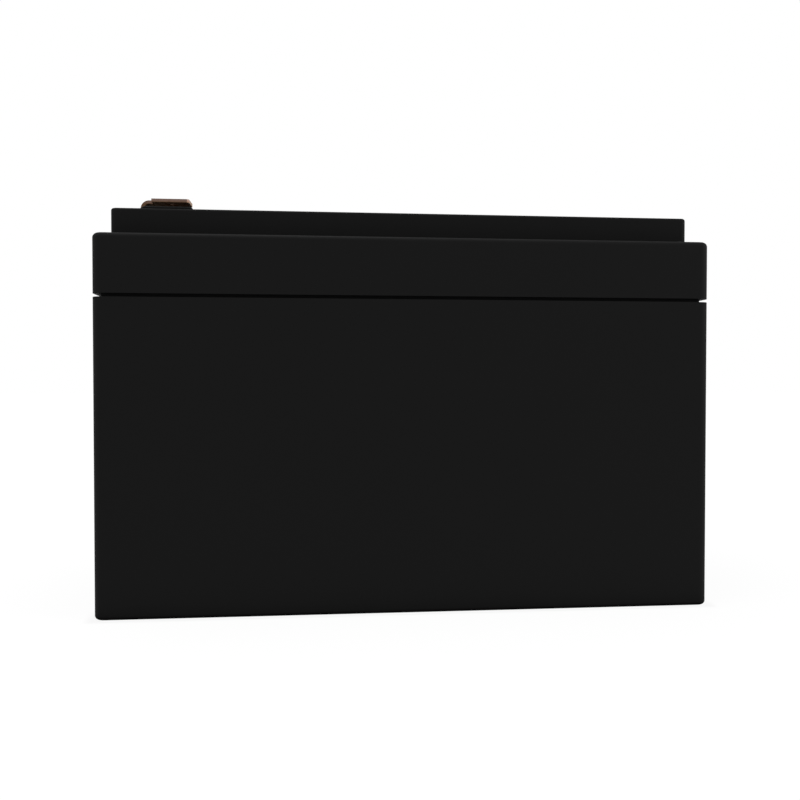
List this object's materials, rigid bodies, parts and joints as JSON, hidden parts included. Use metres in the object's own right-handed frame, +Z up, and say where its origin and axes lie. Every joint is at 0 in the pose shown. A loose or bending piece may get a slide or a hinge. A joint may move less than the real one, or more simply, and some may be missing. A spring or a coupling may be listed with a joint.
{
  "type": "sealed lead-acid battery",
  "caption": "Black box-shaped sealed battery with a lid band, a raised plateau on the lid, flat push-on terminal tabs at one end and plate cells inside.",
  "frame": {"origin": "centre of the flat base, on the surface that the battery stands on", "axes": "+Z up, +X along the long side away from the terminals, -Y towards the front face that the picture shows"},
  "size_m": [0.151, 0.065, 0.1016],
  "materials": {
    "case_plastic": "fine moulded matt black",
    "lid_cement": "set cement",
    "valve_rubber": "moulded rubber",
    "black_resin": "poured casting resin",
    "red_resin": "poured casting resin",
    "tab_metal": "stamped strip, brown and dull",
    "cast_lead": "cast lead alloy",
    "positive_paste": "brown pasted lead grid",
    "negative_paste": "grey pasted lead grid",
    "glass_mat": "damp glass fibre mat"
  },
  "bodies": {
    "root": {"case_jar": "case_plastic", "intercell_link_1": "cast_lead", "intercell_link_2": "cast_lead", "intercell_link_3": "cast_lead", "intercell_link_4": "cast_lead", "intercell_link_5": "cast_lead", "lid": "case_plastic", "lid_sealant": "lid_cement", "negative_plates_1": "negative_paste", "negative_plates_2": "negative_paste", "negative_plates_3": "negative_paste", "negative_plates_4": "negative_paste", "negative_plates_5": "negative_paste", "negative_plates_6": "negative_paste", "positive_plates_1": "positive_paste", "positive_plates_2": "positive_paste", "positive_plates_3": "positive_paste", "positive_plates_4": "positive_paste", "positive_plates_5": "positive_paste", "positive_plates_6": "positive_paste", "post_ring_negative": "valve_rubber", "post_ring_positive": "valve_rubber", "separator_mat_1": "glass_mat", "separator_mat_2": "glass_mat", "separator_mat_3": "glass_mat", "separator_mat_4": "glass_mat", "separator_mat_5": "glass_mat", "separator_mat_6": "glass_mat", "terminal_negative": "tab_metal", "terminal_positive": "tab_metal", "terminal_post_negative": "cast_lead", "terminal_post_positive": "cast_lead", "terminal_resin_negative": "black_resin", "terminal_resin_positive": "red_resin", "valve_cap_1": "valve_rubber", "valve_cap_2": "valve_rubber", "valve_cap_3": "valve_rubber", "valve_cap_4": "valve_rubber", "valve_cap_5": "valve_rubber", "valve_cap_6": "valve_rubber", "vent_cover": "case_plastic"}
  },
  "joints": []
}
